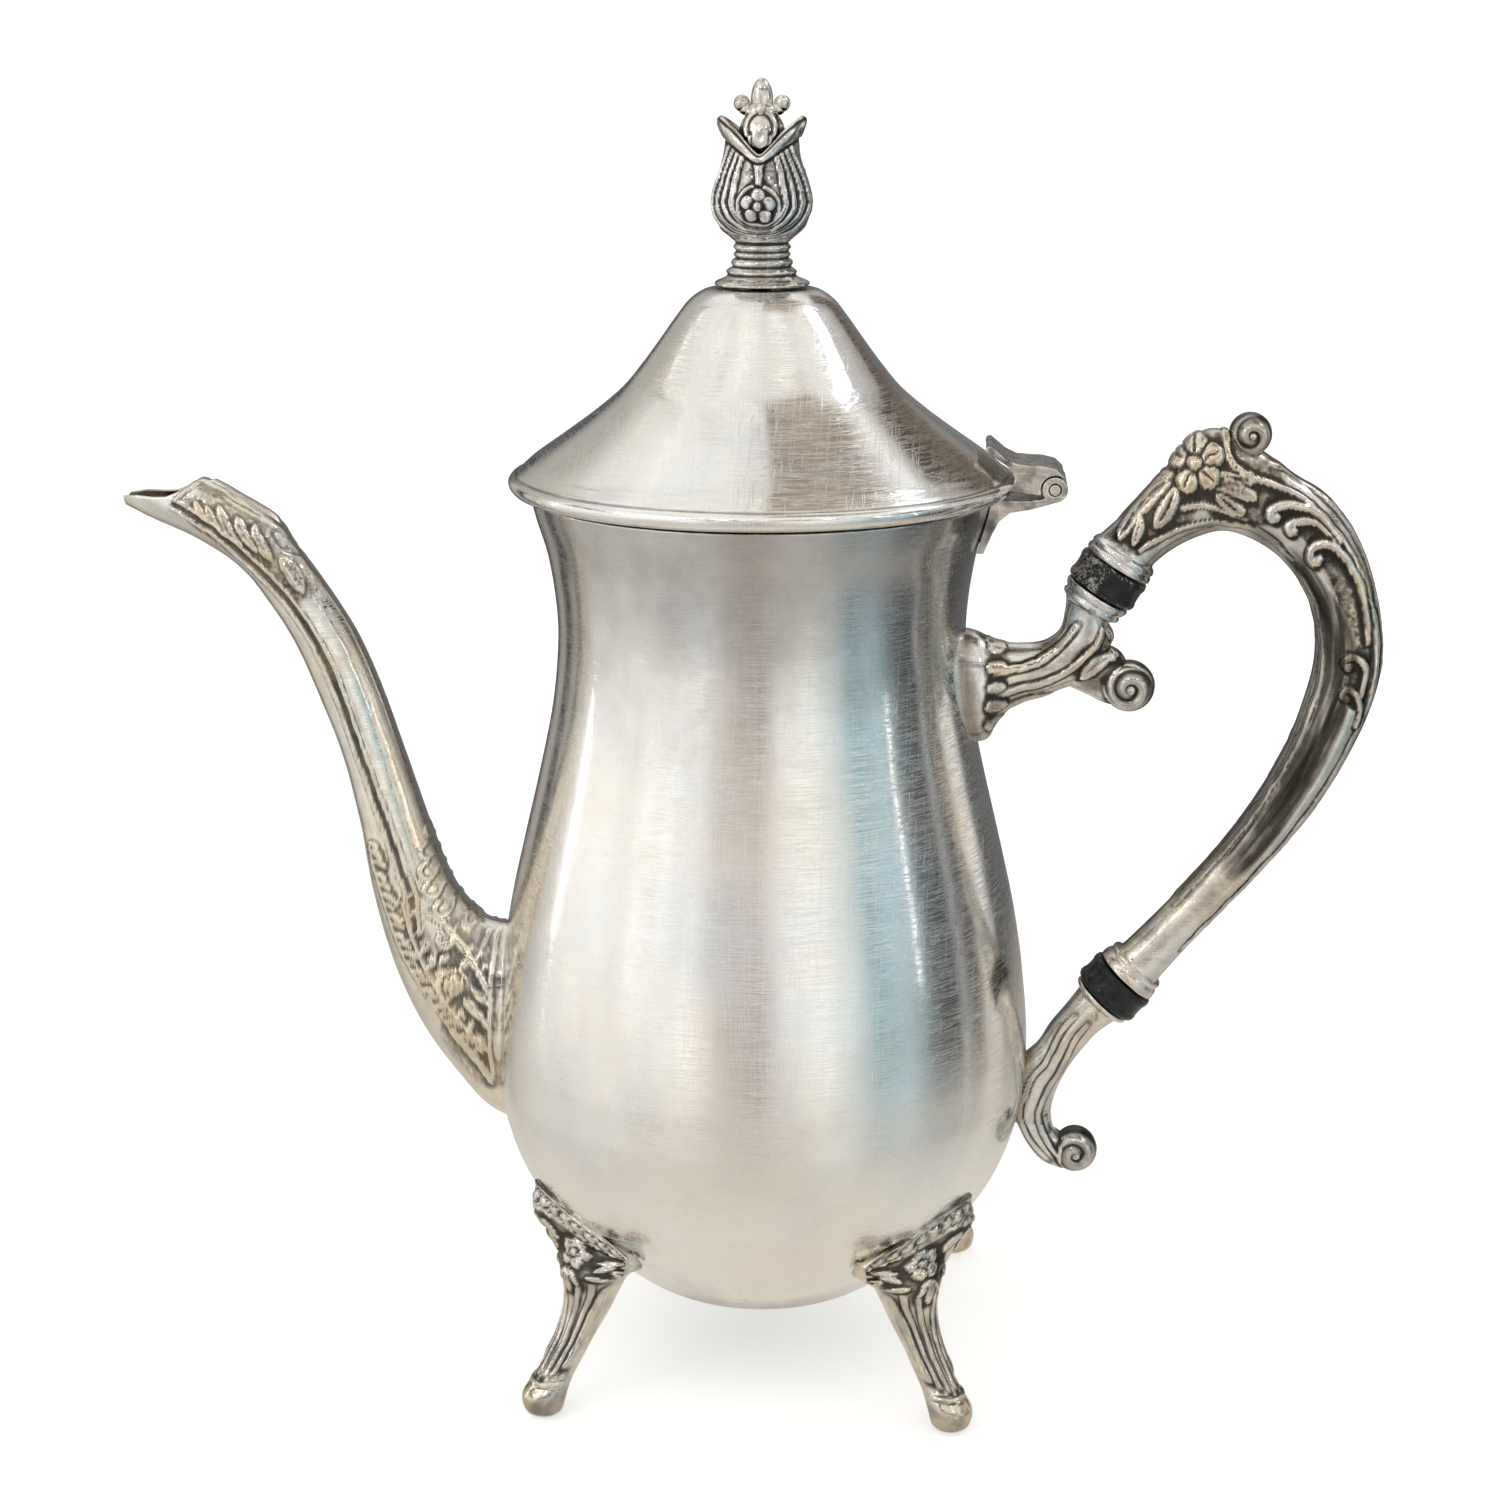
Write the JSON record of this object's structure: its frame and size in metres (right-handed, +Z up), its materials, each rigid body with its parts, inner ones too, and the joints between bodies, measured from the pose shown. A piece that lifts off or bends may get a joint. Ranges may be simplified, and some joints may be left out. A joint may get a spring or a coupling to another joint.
{
  "type": "coffee pot",
  "caption": "Footed pear-shaped silver coffee pot with a hinged domed lid, swan-neck spout and a scroll handle set between black insulators.",
  "frame": {"origin": "on the surface the pot stands on, under the middle of its overall length and width; the body's turning axis is 3 mm to the handle's side of it", "axes": "+Z up, the spout points to -X and the handle to +X, Y across the pot along the lid hinge"},
  "size_m": [0.2603, 0.1138, 0.27],
  "materials": {
    "body_shell": "polished silver plate, finely scratched, light tarnish",
    "lid_dome": "polished silver plate, finely scratched",
    "spout": "cast silver plate, tarnish in the relief",
    "handle": "cast silver plate, tarnish in the relief",
    "finial": "cast silver plate, tarnish in the relief",
    "upper_handle_socket": "cast silver plate, tarnish in the relief",
    "lower_handle_socket": "cast silver plate, tarnish in the relief",
    "hinge_lid_leaf": "silver plate, dull",
    "hinge_body_leaf": "silver plate, dull",
    "lid_bezel": "silver plate, satin",
    "mouth_ring": "silver plate, satin",
    "foot": "cast silver plate, dark tarnish in the relief",
    "hinge_pin": "silver plate, worn",
    "cross_pin": "filed flush with the casting",
    "insulator": "black thermoset, glossy, worn",
    "fastener": "plain brass"
  },
  "bodies": {
    "pot": {"body_shell": "body_shell", "mouth_ring": "mouth_ring", "spout": "spout", "hinge_body_leaf": "hinge_body_leaf", "hinge_pin": "hinge_pin", "upper_handle_socket": "upper_handle_socket", "upper_insulator": "insulator", "handle": "handle", "lower_insulator": "insulator", "lower_handle_socket": "lower_handle_socket", "upper_pin_socket": "cross_pin", "upper_pin_handle": "cross_pin", "lower_pin_socket": "cross_pin", "lower_pin_handle": "cross_pin", "foot_spout_near": "foot", "foot_spout_far": "foot", "foot_handle_near": "foot", "foot_handle_far": "foot"},
    "lid": {"lid_dome": "lid_dome", "lid_bezel": "lid_bezel", "finial": "finial", "finial_washer": "fastener", "finial_nut": "fastener", "hinge_lid_leaf": "hinge_lid_leaf"}
  },
  "joints": [
    {"name": "lid_hinge", "type": "hinge", "parent": "pot", "child": "lid", "pos_m": [0.0625, 0, 0.19], "axis": [0, 1, 0], "range_deg": [0, 100]}
  ]
}
